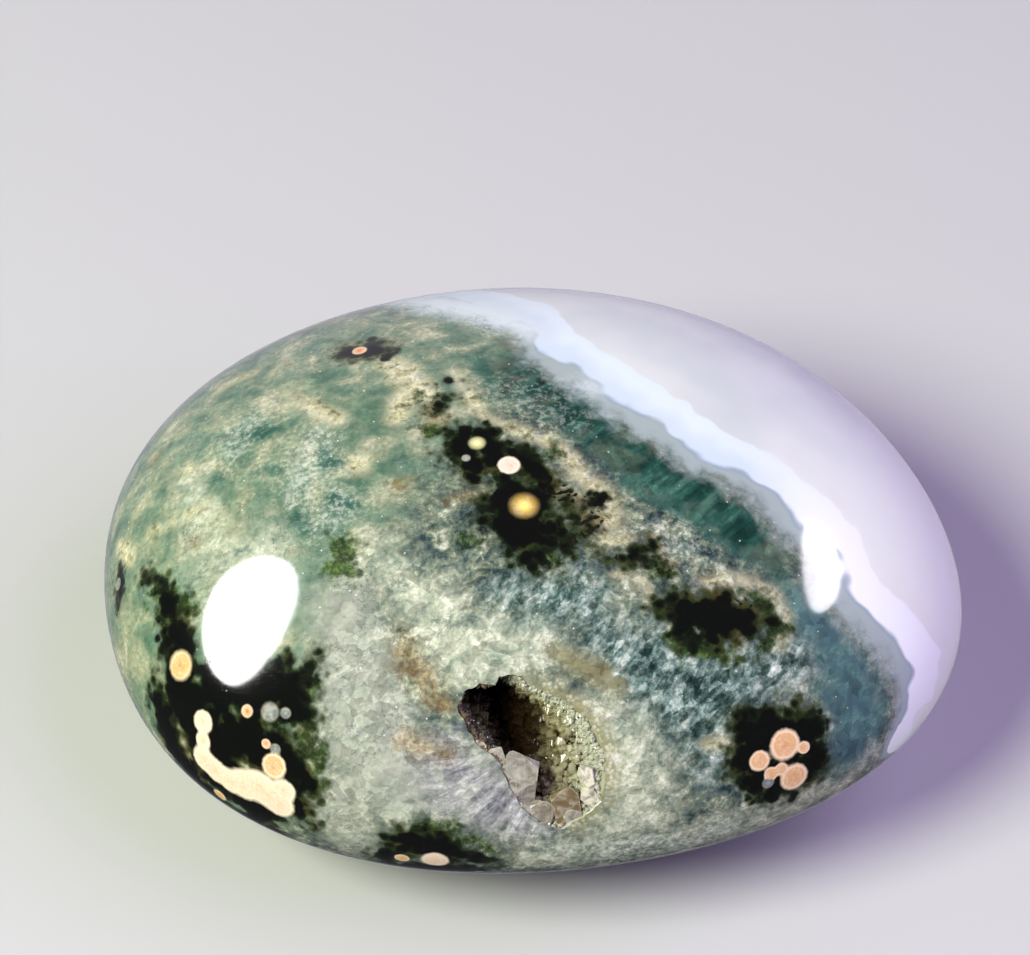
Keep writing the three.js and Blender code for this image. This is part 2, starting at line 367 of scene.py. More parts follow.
class PebbleSettings(bpy.types.PropertyGroup):
    """Form and stone colours of the pebble."""

    girth_height: bpy.props.FloatProperty(
        name="Girth height", description="Height of the pebble's widest line",
        default=0.0132, unit="LENGTH",
    )
    flat_depth: bpy.props.FloatProperty(
        name="Flat depth", description="How much of the underside is rubbed flat",
        default=0.0005, unit="LENGTH",
    )
    lavender: colour_property("Lavender", "Chalcedony beyond the band", "#cfd5d3")
    white_band: colour_property("White band", "Opaque agate band", "#dde8ec")
    pale_band: colour_property("Pale band", "Clearer layer inside the white band", "#859491")
    sage: colour_property("Sage", "Cool grey-green chalcedony", "#718875")
    teal: colour_property("Teal", "Deep glassy green chalcedony", "#234f45")
    slate: colour_property("Slate", "Blue-grey chalcedony", "#415b60")
    moss_black: colour_property("Moss", "Heart of the moss clouds", "#080a07")
    rust: colour_property("Rust", "Iron staining", "#80622a")
    olive: colour_property("Olive", "Olive-brown druse and smudges", "#77704e")


class DruseSettings(bpy.types.PropertyGroup):
    """Quartz crystals of the vug."""

    crystal_radius: bpy.props.FloatProperty(
        name="Crystal radius", description="Radius of a middling crystal",
        default=0.00045, unit="LENGTH",
    )
    crystal_length: bpy.props.FloatProperty(
        name="Crystal length", description="Length of a middling crystal",
        default=0.0011, unit="LENGTH",
    )
    crystal_count: bpy.props.IntProperty(
        name="Crystals", description="Crystals on the walls of the vug", default=4800, min=1,
    )
    # Painted shade: the brown-black that the crystals take deep in the hollow.
    hollow_shade: colour_property("Smoky quartz", "Iron-stained quartz in the depth", "#2b1f10")
    slope: colour_property("Slope quartz", "Olive druse on the vug's slope", "#6d6238")
    rim: colour_property("Rim crystals", "Cream faces of the rim's crystals", "#8a7350")


class StudioSettings(bpy.types.PropertyGroup):
    """Camera, floor and lights."""

    elevation: bpy.props.FloatProperty(
        name="Camera elevation", description="Angle of the view above the table",
        default=math.radians(48), subtype="ANGLE",
    )
    distance: bpy.props.FloatProperty(
        name="Camera distance", description="From the lens to the stone",
        default=0.3, unit="LENGTH",
    )
    focal_length: bpy.props.FloatProperty(
        name="Focal length", description="Lens of the camera", default=131.83, unit="CAMERA",
    )
    floor: colour_property("Floor", "Pale studio floor", "#bababa")
    key_power: bpy.props.FloatProperty(
        name="Key power", description="Softbox on the left", default=7.6, unit="POWER",
    )
    gleam_power: bpy.props.FloatProperty(
        name="Gleam power", description="The softbox as the polish shows it", default=10.0,
        unit="POWER",
    )
    rim_power: bpy.props.FloatProperty(
        name="Rim power", description="Small strip light on the right", default=0.95, unit="POWER",
    )
    fill_power: bpy.props.FloatProperty(
        name="Fill power", description="Broad violet light on the right", default=5.3,
        unit="POWER",
    )


# Camera.

SENSOR_WIDTH = 36.0
CAMERA_TARGET = Vector((0.0, 0.0, 14.5))
CAMERA_AIM_ACROSS = -1.33
CAMERA_AIM_UP = 6.65


def camera_rays(studio):
    """The camera's place and its forward, right and up directions, in millimetres."""
    rise = studio.elevation
    back = Vector((0.0, -math.cos(rise), math.sin(rise)))
    up_slope = Vector((0.0, math.sin(rise), math.cos(rise)))
    eye = CAMERA_TARGET + back * studio.distance * MM
    aim = CAMERA_TARGET + Vector((CAMERA_AIM_ACROSS, 0, 0)) + up_slope * CAMERA_AIM_UP
    forward = (aim - eye).normalized()
    right = forward.cross(Vector((0, 0, 1))).normalized()
    return eye, forward, right, right.cross(forward)


# The pebble's form.

# How far the pebble's plan departs from an ellipse, as shares of its radius.
HEAVY_END = 0.077
HEAVY_SIDE = 0.017
THREE_CORNERS = 0.010
THREE_CORNERS_TURN = -0.013
FOUR_CORNERS = -0.0055
FOUR_CORNERS_TURN = -0.015


def rough_pebble(directions, height, girth, flat):
    """Points of the pebble for unit directions, before it is brought to its length and width."""
    x, y, z = directions.T
    radius = (
        1 + HEAVY_END * x + HEAVY_SIDE * y
        + THREE_CORNERS * (x**3 - 3 * x * y * y)
        + THREE_CORNERS_TURN * (3 * x * x * y - y**3)
        + FOUR_CORNERS * (x**4 - 6 * x * x * y * y + y**4)
        + FOUR_CORNERS_TURN * (4 * x**3 * y - 4 * x * y**3)
    )
    reach = np.where(z > 0, height - girth, girth + flat)
    return np.column_stack((x * radius, y * radius, np.maximum(z * reach, -girth) + girth))


def pebble_points(directions, pebble):
    """Points of the finished pebble in millimetres, filling the frame's own box."""
    low, high = (np.array(corner) * MM for corner in STONE_BOX)
    girth, flat = pebble.girth_height * MM, pebble.flat_depth * MM
    form = partial(rough_pebble, height=high[2], girth=girth, flat=flat)
    turn = np.linspace(0, 2 * math.pi, 3600, endpoint=False)
    rim = form(np.column_stack((np.cos(turn), np.sin(turn), np.zeros_like(turn))))
    rim_low, rim_high = rim.min(axis=0)[:2], rim.max(axis=0)[:2]
    points = form(directions)
    share = (points[:, :2] - rim_low) / (rim_high - rim_low)
    points[:, :2] = low[:2] + share * (high - low)[:2]
    return points


def unit_rows(rows):
    return rows / np.linalg.norm(rows, axis=1)[:, None]


def rows_of(vectors):
    return np.array([tuple(v) for v in vectors])


class Surface:
    """The whole pebble before the vug, to place markings on."""

    def __init__(self, pebble, studio):
        bm = bmesh.new()
        bmesh.ops.create_icosphere(bm, subdivisions=7, radius=1.0)
        places = pebble_points(unit_rows(rows_of(v.co for v in bm.verts)), pebble)
        for vertex, place in zip(bm.verts, places):
            vertex.co = place
        bm.normal_update()
        self.tree = BVHTree.FromBMesh(bm)
        bm.free()
        self.eye, self.forward, self.right, self.up = camera_rays(studio)
        self.focal = studio.focal_length * PHOTO_WIDTH / SENSOR_WIDTH

    def seen(self, across, down):
        """The point and normal of the stone that a pixel of the photograph shows.

        A marking on the very edge slides inwards until it lies on the stone.
        """
        for step in range(EDGE_SLIDES):
            share = 1 - EDGE_SLIDE * step
            x = (across - STONE_CENTRE[0]) * share + STONE_CENTRE[0] - PHOTO_WIDTH / 2
            y = (down - STONE_CENTRE[1]) * share + STONE_CENTRE[1] - PHOTO_HEIGHT / 2
            ray = self.forward * self.focal + self.right * x - self.up * y
            place, normal, _, _ = self.tree.ray_cast(self.eye, ray.normalized())
            if place is not None:
                return place, normal
        raise RuntimeError(f"pixel {across},{down} is off the stone")

    def near(self, point):
        place, normal, _, _ = self.tree.find_nearest(Vector(point))
        return place, normal


class Shape:
    """Distances to a set of strokes, each a chain of (point, radius)."""

    def __init__(self, strokes):
        self.strokes = strokes

    def measure(self, points):
        """Distance outside the nearest stroke, negative inside it."""
        best = np.full(len(points), np.inf)
        for stroke in self.strokes:
            for (a, a_radius), (b, b_radius) in zip(stroke, stroke[1:] or stroke):
                a, b = np.array(a), np.array(b)
                length = max(float((b - a) @ (b - a)), 1e-9)
                share = np.clip((points - a) @ (b - a) / length, 0, 1)
                far = np.linalg.norm(points - a - share[:, None] * (b - a), axis=1)
                best = np.minimum(best, far - a_radius - share * (b_radius - a_radius))
        return best


def seen_strokes(surface, strokes):
    return [
        [(surface.seen(across, down)[0], radius) for across, down, radius in stroke]
        for stroke in strokes
    ]


def hidden_strokes(surface, strokes):
    return [
        [(surface.near(point[:3])[0], point[3]) for point in stroke]
        for stroke in strokes
    ]


def all_orbs(surface):
    """Every orb as its centre, its radius and its colour's name."""
    seen = [(surface.seen(across, down)[0], radius, colour) for across, down, radius, colour in ORBS]
    hidden = [(surface.near(orb[:3])[0], orb[3], orb[4]) for orb in HIDDEN_ORBS]
    return seen + hidden


ORB_JOIN = 7.0


def orb_field(points, orbs):
    """Distance to the orbs as a share of their radius, and the nearest one's two colours.

    Orbs that overlap run together, as they do where they grew into each other.
    """
    best = np.full(len(points), np.inf)
    joined = np.zeros(len(points))
    shells = np.ones((len(points), 4))
    hearts = np.ones((len(points), 4))
    for centre, radius, name in orbs:
        shell, heart, deep = ORB_COLOURS[name]
        share = np.linalg.norm(points - np.array(centre), axis=1) / radius
        joined += np.exp(-ORB_JOIN * share)
        closer = share < best
        best[closer] = share[closer]
        shells[closer] = (*hex_colour(shell)[:3], deep)
        hearts[closer] = hex_colour(heart)
    return np.minimum(-np.log(np.maximum(joined, 1e-30)) / ORB_JOIN, best), shells, hearts


# The band of white agate is a nearly upright sheet through the stone. BAND_NORMAL points
# from the moss side to the lavender side, and BAND_WAY runs along the sheet.
BAND_NORMAL = np.array((0.643, 0.754, -0.135))
BAND_WAY = np.array((0.761, -0.649, 0.0))


def band_field(points, surface):
    """Distance inside the band's upper edge, and the way along the band."""
    edge = rows_of(surface.seen(across, down)[0] for across, down in BAND_EDGE)
    way = edge @ BAND_WAY
    order = np.argsort(way)
    reach = np.interp(points @ BAND_WAY, way[order], (edge @ BAND_NORMAL)[order])
    return reach - points @ BAND_NORMAL, points @ BAND_WAY


# The vug.

# One row for each ring of the hollow: depth, size about the deep point, drift up the slope and
# drift to the left. The hollow undercuts its upper left edge and rises slowly at the right.
HOLLOW_RINGS = (
    (-1.2, 1.00, 0.0, 0.0),
    (0.0, 1.00, 0.0, 0.0),
    (0.5, 0.98, 0.2, 0.2),
    (1.2, 0.91, 0.6, 0.7),
    (2.2, 0.83, 1.1, 1.3),
    (3.4, 0.74, 1.6, 1.8),
    (4.8, 0.62, 2.0, 2.1),
    (6.2, 0.46, 2.3, 2.2),
    (7.2, 0.22, 2.4, 2.2),
)
HOLLOW_ROUGHNESS = 0.35
MOUTH_STEPS = 4
MOUTH_ROUGHNESS = 0.18


def mouth_ring(surface):
    """Points around the vug's mouth on the polished surface, its middle and its outward normal."""
    corners = [surface.seen(across, down)[0] for across, down in MOUTH]
    middle = sum(corners, Vector()) / len(corners)
    middle, outward = surface.near(middle)
    ring = []
    for a, b in zip(corners, corners[1:] + corners[:1]):
        for step in range(MOUTH_STEPS):
            point = a.lerp(b, step / MOUTH_STEPS)
            jag = noise.noise_vector(point * 1.7) * MOUTH_ROUGHNESS
            ring.append(surface.near(point + jag)[0])
    return ring, middle, outward


def slope_frame(outward):
    """Directions along the stone and up its slope, square to the outward direction."""
    along = Vector((1, 0, 0)) - outward * outward.x
    along.normalize()
    return along, outward.cross(along)


def hollow_mesh(surface):
    """The vug's hollow as a closed solid that reaches a little above the surface."""
    ring, _, outward = mouth_ring(surface)
    along, up_slope = slope_frame(outward)
    deep = surface.seen(*DEEP_POINT)[0]
    bm = bmesh.new()
    loops = []
    for depth, size, rise, left in HOLLOW_RINGS:
        verts = []
        for point in ring:
            place = deep + (point - deep) * size - outward * depth
            place += up_slope * rise - along * left
            if depth > 0:
                place += noise.noise_vector(place * 0.9) * HOLLOW_ROUGHNESS
            verts.append(bm.verts.new(place / MM))
        loops.append([bm.edges.new((a, b)) for a, b in zip(verts, verts[1:] + verts[:1])])
    for upper, lower in zip(loops, loops[1:]):
        bmesh.ops.bridge_loops(bm, edges=upper + lower)
    bmesh.ops.holes_fill(bm, edges=loops[0] + loops[-1], sides=0)
    bmesh.ops.triangulate(bm, faces=bm.faces[:])
    bmesh.ops.recalc_face_normals(bm, faces=bm.faces[:])
    mesh = bpy.data.meshes.new("vug_hollow")
    bm.to_mesh(mesh)
    bm.free()
    return mesh


# Pieces and materials.


def new_piece(name, mesh):
    piece = bpy.data.objects.new(name, mesh)
    bpy.context.scene.collection.objects.link(piece)
    return piece


def apply_modifiers(piece):
    graph = bpy.context.evaluated_depsgraph_get()
    finished = bpy.data.meshes.new_from_object(piece.evaluated_get(graph))
    piece.modifiers.clear()
    piece.data = finished
    finished.name = piece.name


def store(mesh, name, kind, values):
    """Keeps one value for each vertex as a named attribute."""
    attribute = mesh.attributes.new(name, kind, "POINT")
    key = {"FLOAT": "value", "FLOAT_VECTOR": "vector", "FLOAT_COLOR": "color"}[kind]
    attribute.data.foreach_set(key, np.asarray(values, dtype=np.float32).ravel())


def add_node(tree, kind, inputs=None, output=0, stops=None, **settings):
    """Adds one shader node with its settings and links, and returns one output, or all for None."""
    made = tree.nodes.new("ShaderNode" + kind)
    for name, value in settings.items():
        setattr(made, name, value)
    if stops:
        ramp = made.color_ramp
        while len(ramp.elements) < len(stops):
            ramp.elements.new(1.0)
        for element, (position, colour) in zip(ramp.elements, stops):
            element.position = position
            element.color = colour
    for key, value in (inputs or {}).items():
        if isinstance(value, bpy.types.NodeSocket):
            tree.links.new(value, made.inputs[key])
        else:
            made.inputs[key].default_value = value
    if not made.outputs:
        return None
    return made.outputs if output is None else made.outputs[output]


def new_material(name):
    material = bpy.data.materials.new(name)
    material.use_nodes = True
    material.node_tree.nodes.clear()
    return material, partial(add_node, material.node_tree)


def jasper_material(pebble, vug_middle):
    """Polished ocean jasper, an orbicular chalcedony cut and tumbled to a glassy polish.

    The eye gets a clear, wet-looking gloss over cloudy green and lavender stone with depth in it,
    crisp agate banding, feathery black moss and round cream orbs.
    """
    material, add = new_material("polished_ocean_jasper")

    def math_node(operation, *values):
        return add("Math", dict(enumerate(values)), operation=operation)

    def soft(value, start, end):
        ends = {0: value, 1: start, 2: end, 3: 0.0, 4: 1.0}
        return add("MapRange", ends, interpolation_type="SMOOTHSTEP")

    def mix(mask, low, high, **settings):
        return add("Mix", {0: mask, 6: low, 7: high}, 2, data_type="RGBA", **settings)

    def cloud(vector, size, detail=3.0, roughness=0.55, distortion=0.0):
        inputs = {
            "Vector": vector, "Scale": 1 / size, "Detail": detail,
            "Roughness": roughness, "Distortion": distortion,
        }
        return add("TexNoise", inputs)

    def field(name, output="Fac"):
        return add("Attribute", output=output, attribute_name=name)

    place = add("TexCoord", output="Object")
    mm = add("VectorMath", {0: place, 3: MM}, operation="SCALE")

    def cells(vector, size, output="Distance"):
        return add("TexVoronoi", {"Vector": vector, "Scale": 1 / size}, output)

    def veins(vector, size, width):
        """Thin crisp lines, as where crystals meet."""
        ridge = math_node("ABSOLUTE", math_node("SUBTRACT", cloud(vector, size, 4.0), 0.5))
        return soft(ridge, width, 0.0)

    def product(*values):
        return reduce(partial(math_node, "MULTIPLY"), values)

    # Clouding at the sizes that the stone shows: broad drifts, patches, blotches and grain.
    drift = cloud(mm, 9.0, 2.0)
    hue = cloud(mm, 5.0, 3.0)
    patch = cloud(mm, 3.0, 4.0, 0.5, 0.6)
    blotch = cloud(mm, 1.2, 4.0, 0.6, 0.4)
    grain = cloud(mm, 0.40, 3.0, 0.65)
    swirl = add("TexNoise", {"Vector": mm, "Scale": 1 / 2.2, "Detail": 3.0}, "Color")
    swirl = add("VectorMath", {0: swirl, 1: (0.5, 0.5, 0.5)}, operation="SUBTRACT")
    swirled = add("VectorMath", {0: swirl, 1: (3.2, 3.2, 3.2), 2: mm}, operation="MULTIPLY_ADD")
    ragged = math_node("SUBTRACT", blotch, 0.5)
    ragged_fine = math_node("SUBTRACT", grain, 0.5)

    def frayed(name, coarse, fine=0.5):
        """A marking's distance field with its edge broken up."""
        edge = math_node("MULTIPLY_ADD", ragged, coarse, field(name))
        return math_node("MULTIPLY_ADD", ragged_fine, fine, edge)

    def ramp(value, *stops):
        return add("ValToRGB", {0: value}, stops=[(at, hex_colour(tone)) for at, tone in stops])

    # Ground at the left: soft sage clouds with blurred teal and cream pockets.
    ground = ramp(
        math_node("MULTIPLY_ADD", ragged_fine, 0.30, patch), (0.32, "#4d6957"), (0.42, "#647a66"),
        (0.51, "#7a8971"), (0.60, "#93987e"), (0.70, "#b4b299"),
    )
    ground = mix(math_node("MULTIPLY", soft(hue, 0.50, 0.62), 0.4), ground, pebble.sage)
    pocket = cells(swirled, 2.8, None)
    lot = add("SeparateColor", {0: pocket["Color"]})
    blur = soft(math_node("MULTIPLY_ADD", ragged, 1.1, pocket["Distance"]), 0.52, 0.12)
    ground = mix(product(blur, soft(lot, 0.66, 0.76), 0.5), ground, hex_colour("#3b6657"))
    ground = mix(product(blur, soft(lot, 0.30, 0.20), 0.4), ground, hex_colour("#a5a286"))

    # The middle is greyer, with white curls and dark blue-grey gaps between them.
    core = math_node("MULTIPLY_ADD", ragged_fine, 0.45, cloud(swirled, 1.7, 4.0, 0.6))
    centre = ramp(
        core, (0.28, "#19272a"), (0.38, "#344344"), (0.48, "#58655a"), (0.58, "#7b846e"),
        (0.70, "#b6b9a8"),
    )
    middle = math_node("MULTIPLY_ADD", ragged, 6.0, field("middle"))
    core_share = soft(middle, 3.0, -3.0)
    ground = mix(core_share, ground, centre)
    around = ramp(
        core, (0.26, "#61756a"), (0.40, "#929c89"), (0.54, "#b1b59f"), (0.72, "#dadbca"),
    )
    ground = mix(soft(frayed("pale", 3.5, 1.0), 2.0, -2.0), ground, around)

    # Granular white quartz, which along the lower edge is painted light.
    sugar = ramp(
        math_node("MULTIPLY_ADD", ragged, 1.2, grain), (0.28, "#4d6d62"), (0.42, "#7d9082"),
        (0.54, "#a6b0a2"), (0.70, "#d6dbd2"),
    )
    quartz = soft(frayed("quartz", 3.0, 1.4), 0.8, -1.2)
    ground = mix(math_node("MULTIPLY", quartz, 0.5), ground, sugar)

    # The glassy field is broken into slanting splinters, white beside blue-black.
    slanted = add("Mapping", {
        "Vector": mm, "Rotation": (0.0, 0.0, math.radians(-38)), "Scale": (0.5, 1.1, 0.7),
    }, vector_type="TEXTURE")
    shard = add("SeparateColor", {0: cells(slanted, 1.0, output="Color")})
    splinter = math_node("MULTIPLY_ADD", shard, 0.20, -0.10)
    splinter = math_node("ADD", cloud(slanted, 1.6, 5.0, 0.68), splinter)
    splinter = math_node("MULTIPLY_ADD", ragged_fine, 0.35, splinter)
    splinter = math_node("MULTIPLY_ADD", soft(field("glass"), -0.6, -2.8), -0.04, splinter)
    glassy = ramp(
        splinter, (0.30, "#1c2b29"), (0.40, "#384d46"), (0.48, "#5a706a"), (0.55, "#7a8c84"),
        (0.64, "#a2aea4"), (0.76, "#dce2da"),
    )
    ground = mix(soft(frayed("glass", 3.5, 1.6), 2.2, -1.8), ground, glassy)
    slate = mix(soft(patch, 0.35, 0.65), pebble.slate, hex_colour("#537570"))
    slate = mix(product(soft(hue, 0.52, 0.62), 0.5), slate, hex_colour("#7b8580"))
    ground = mix(soft(frayed("slate", 2.0, 0.6), 1.8, -1.6), ground, slate)

    # Columnar quartz that radiates from the vug: its grain is constant along each radius.
    offset = add("VectorMath", {0: mm, 1: tuple(-c for c in vug_middle)}, operation="ADD")
    radial = add("VectorMath", {0: offset}, operation="NORMALIZE")
    reach = add("VectorMath", {0: offset}, 1, operation="LENGTH")
    rays = add("VectorMath", {0: radial, 3: 9.0}, operation="SCALE")
    depth_step = add("CombineXYZ", {0: math_node("MULTIPLY", reach, 0.30)})
    rays = add("VectorMath", {0: rays, 1: depth_step}, operation="ADD")
    prism = add("SeparateColor", {0: cells(rays, 0.9, output="Color")})
    column = math_node("MULTIPLY_ADD", prism, 0.26, math_node("MULTIPLY_ADD", ragged_fine, 0.5, -0.13))
    column = math_node("ADD", cloud(rays, 1.0, 5.0, 0.66), column)
    columnar = ramp(
        column, (0.28, "#5b5e64"), (0.40, "#7f7f84"), (0.52, "#9a999b"), (0.64, "#b6b5b6"),
        (0.80, "#e4e3e6"),
    )
    columnar = mix(product(soft(patch, 0.50, 0.60), 0.45), columnar, hex_colour("#b9beb0"))
    frosty = mix(0.65, around, hex_colour("#8d8f88"))
    columnar = mix(soft(reach, 12.0, 6.0), frosty, columnar)
    ground = mix(soft(frayed("columns", 3.0, 1.0), 2.0, -2.0), ground, columnar)

    # Cream vein, teal pockets, iron stain and olive smudges.
    creamy = ramp(
        math_node("MULTIPLY_ADD", ragged_fine, 0.6, blotch), (0.30, "#6f7052"), (0.42, "#a7a37f"),
        (0.54, "#cdc6a2"), (0.70, "#ebe5cf"),
    )
    glaucous = mix(soft(patch, 0.35, 0.65), pebble.teal, hex_colour("#42695b"))
    rusty = mix(soft(grain, 0.42, 0.6), pebble.rust, hex_colour("#a98f66"))
    layers = (
        ("cream", 2.6, 1.2, 0.7, -0.8, 0.85, creamy),
        ("teal", 1.8, 0.8, 0.6, -0.7, 0.78, glaucous),
        ("olive", 2.0, 1.6, 0.8, -0.9, 0.75, pebble.olive),
        ("rust", 2.8, 3.0, 0.8, -1.4, 0.6, rusty),
    )
    for name, coarse, fine, start, end, strength, colour in layers:
        cover = math_node("MULTIPLY", soft(frayed(name, coarse, fine), start, end), strength)
        ground = mix(cover, ground, colour)

    # The agate band, measured inward from its crisp upper edge, over a deep teal layer.
    scallop = math_node("MULTIPLY_ADD", cloud(mm, 2.4, 1.0), 1.8, -0.9)
    band = math_node("ADD", field("band"), scallop)
    fibre_place = add("CombineXYZ", {
        0: math_node("MULTIPLY", field("band_way"), 0.9), 1: math_node("MULTIPLY", band, 0.16),
        2: math_node("MULTIPLY", ragged, 0.5),
    })
    fibre = cloud(fibre_place, 1.0, 4.0, 0.55)
    inner_edge = math_node("MULTIPLY_ADD", ragged, 2.6, band)
    teal_depth = ramp(
        fibre, (0.30, "#0f2d27"), (0.44, "#183b32"), (0.56, "#264e43"), (0.68, "#4a6e5e"),
    )
    teal_depth = mix(product(soft(hue, 0.52, 0.64), 0.55), teal_depth, hex_colour("#64705c"))
    teal_zone = math_node("MULTIPLY", soft(inner_edge, 11.0, 8.5), field("teal_reach"))
    ground = mix(teal_zone, ground, teal_depth)
    rim_band = product(soft(inner_edge, 7.0, 6.1), soft(inner_edge, 5.2, 5.8))
    rim = product(rim_band, soft(grain, 0.44, 0.60), soft(patch, 0.36, 0.50))
    pale = mix(soft(inner_edge, 6.4, 4.2), pebble.pale_band, hex_colour("#a1adab"))
    ground = mix(soft(inner_edge, 7.0, 5.0), ground, pale)
    ground = mix(math_node("MULTIPLY", rim, 0.45), ground, hex_colour("#8d8878"))
    wave = math_node("MULTIPLY_ADD", math_node("SUBTRACT", cloud(mm, 3.6, 1.0), 0.5), 3.0, band)
    white = mix(soft(band, 3.2, 0.8), hex_colour("#cbd9e4"), pebble.white_band)
    # Painted light: the white grows paler towards the band's heavy end, which the lamps light less.
    white = mix(soft(field("band_way"), 12.0, 22.0), white, hex_colour("#eff3f1"))
    ground = mix(soft(wave, 3.9, 3.4), ground, white)
    line = product(soft(wave, 4.2, 3.8), soft(wave, 3.2, 3.7), soft(hue, 0.38, 0.52), 0.45)
    ground = mix(line, ground, hex_colour("#8398ad"))
    beyond = mix(soft(drift, 0.35, 0.65), pebble.lavender, hex_colour("#dbdfdb"))
    # Painted light: the lavender grows paler towards the heavy end, which the lamps light less.
    beyond = mix(soft(field("band_way"), 9.0, 24.0), beyond, hex_colour("#e4e8e0"))
    flush = product(soft(band, -2.4, -0.4), soft(hue, 0.45, 0.62), 0.15)
    beyond = mix(flush, beyond, hex_colour("#dcd0c8"))
    ground = mix(soft(band, 0.16, -0.16), ground, beyond)
    haze = math_node("MULTIPLY", soft(frayed("haze", 3.0), 1.8, -2.0), soft(band, -0.2, 0.4))
    ground = mix(haze, ground, hex_colour("#d5dfe0"))

    # The lavender and white chalcedony lets light through for several millimetres.
    glow = math_node("MULTIPLY_ADD", soft(band, 4.0, -1.0), 0.75, 0.12)

    green_side = soft(band, 4.5, 6.5)

    # Painted shading: each quartz grain takes a shade of its own, and a slope lit as from the upper left.
    ruffled = add("VectorMath", {0: swirl, 1: (1.2, 1.2, 1.2), 2: mm}, operation="MULTIPLY_ADD")
    facet = cells(ruffled, 0.7, None)
    facet_lot = add("SeparateColor", {0: facet["Color"]})
    facets = product(green_side, math_node("MULTIPLY_ADD", core_share, 0.14, 0.12))
    ground = mix(facets, ground, facet_lot, blend_type="OVERLAY")
    grit = cells(mm, 0.4, None)
    # Painted shading: the grit's grains are shaded as if lit from the upper left and behind.
    facet_light_slope = add("VectorMath", {0: grit["Position"], 1: mm}, operation="SUBTRACT")
    facet_light_slope = add("VectorMath", {0: facet_light_slope, 1: (-1.4, 0.85, 1.7)}, 1, operation="DOT_PRODUCT")
    painted_facet_shade = math_node("ADD", facet_light_slope, 0.5)
    crystals = product(green_side, soft(patch, 0.42, 0.56), 0.16)
    ground = mix(crystals, ground, painted_facet_shade, blend_type="OVERLAY")

    # Crisp white threads and specks of quartz all through the green; the specks are partly painted glints.
    crystalline = soft(math_node("MULTIPLY_ADD", patch, -6.0, field("quartz")), 0.0, -3.0)
    frost = product(crystalline, soft(grain, 0.48, 0.62), green_side, 0.18)
    ground = mix(frost, ground, hex_colour("#dfe4da"))
    gap = product(veins(mm, 1.3, 0.022), soft(hue, 0.46, 0.58), green_side, 0.55)
    ground = mix(gap, ground, hex_colour("#41565a"))
    speck_and_glint = cells(mm, 0.45, None)
    speck_lot = add("SeparateColor", {0: speck_and_glint["Color"]})
    speck_and_glint = product(soft(speck_and_glint["Distance"], 0.20, 0.10), soft(speck_lot, 0.93, 0.96), green_side)
    ground = mix(math_node("MULTIPLY", speck_and_glint, 0.6), ground, hex_colour("#f4f5ec"))

    # Moss clouds: black hearts with small round lobes, dim haloes and green tufts.
    lump = math_node("SUBTRACT", cloud(mm, 1.5, 1.0), 0.5)
    lobe = math_node("MULTIPLY_ADD", cells(mm, 0.9), 1.5, -0.95)
    lobe = math_node("MULTIPLY_ADD", grit["Distance"], 0.35, lobe)
    lobe = math_node("MULTIPLY_ADD", lump, 2.6, lobe)
    moss = math_node("ADD", frayed("moss", 0.8, 0.4), lobe)
    halo = product(soft(moss, 1.3, 0.1), soft(patch, 0.36, 0.56), 0.5)
    ground = mix(halo, ground, hex_colour("#454b38"))
    tuft = math_node("ADD", frayed("green_moss", 0.8, 0.7), lobe)
    moss_tone = ramp(
        math_node("MULTIPLY_ADD", ragged, 0.8, grain), (0.30, "#131d0a"), (0.50, "#2b3e19"),
        (0.70, "#566d33"),
    )
    ground = mix(math_node("MULTIPLY", soft(tuft, 0.7, -0.55), 0.9), ground, moss_tone)
    murk = ramp(
        math_node("MULTIPLY_ADD", ragged_fine, 0.25, patch), (0.34, "#11180c"), (0.48, "#1f2a14"),
        (0.60, "#2f381b"), (0.74, "#4c4526"),
    )
    ground = mix(soft(moss, 0.80, -0.20), ground, murk)
    ground = mix(soft(math_node("MULTIPLY_ADD", ragged, 0.8, moss), 0.15, -0.8), ground, pebble.moss_black)
    fleck = math_node("MULTIPLY", soft(frayed("flecks", 1.6, 0.8), 0.5, -0.8), green_side)
    fleck = product(fleck, soft(cells(swirled, 0.62), 0.46, 0.30))
    ground = mix(fleck, ground, hex_colour("#17160d"))

    # Orbs: concentric shells, and the blurred ones lie deeper in the stone.
    share = math_node("ADD", field("orb"), math_node("MULTIPLY", ragged_fine, 0.22))
    deep = field("orb_colour", "Alpha")
    shell, heart = field("orb_colour", "Color"), field("orb_heart", "Color")
    ring = math_node("MULTIPLY_ADD", math_node("SINE", product(share, 30.0)), 0.5, 0.5)
    ring = product(ring, math_node("SUBTRACT", 0.45, product(deep, 0.45)))
    orb = mix(math_node("MULTIPLY_ADD", deep, -0.2, 0.5), shell, heart)
    orb = mix(ring, orb, heart)
    orb = mix(soft(share, math_node("MULTIPLY_ADD", deep, 0.30, 0.42), 0.08), orb, heart)
    mottle = product(soft(math_node("ADD", grain, product(ragged, 0.7)), 0.44, 0.62), 0.25)
    orb = mix(mottle, orb, hex_colour("#f3dcc6"))
    squiggle = soft(math_node("ABSOLUTE", math_node("SUBTRACT", grain, 0.5)), 0.03, 0.0)
    squiggle = product(squiggle, soft(share, 0.85, 0.55), math_node("SUBTRACT", 0.6, deep))
    orb = mix(squiggle, orb, hex_colour("#c98d62"))
    crisp_rim = product(soft(share, 0.70, 0.86), math_node("SUBTRACT", 1.0, deep), 0.55)
    orb = mix(crisp_rim, orb, hex_colour("#f7e6cc"))
    outer = math_node("MULTIPLY_ADD", deep, 0.18, 1.10)
    inner = math_node("MULTIPLY_ADD", deep, -0.36, 0.88)
    ground = mix(soft(share, outer, inner), ground, orb)

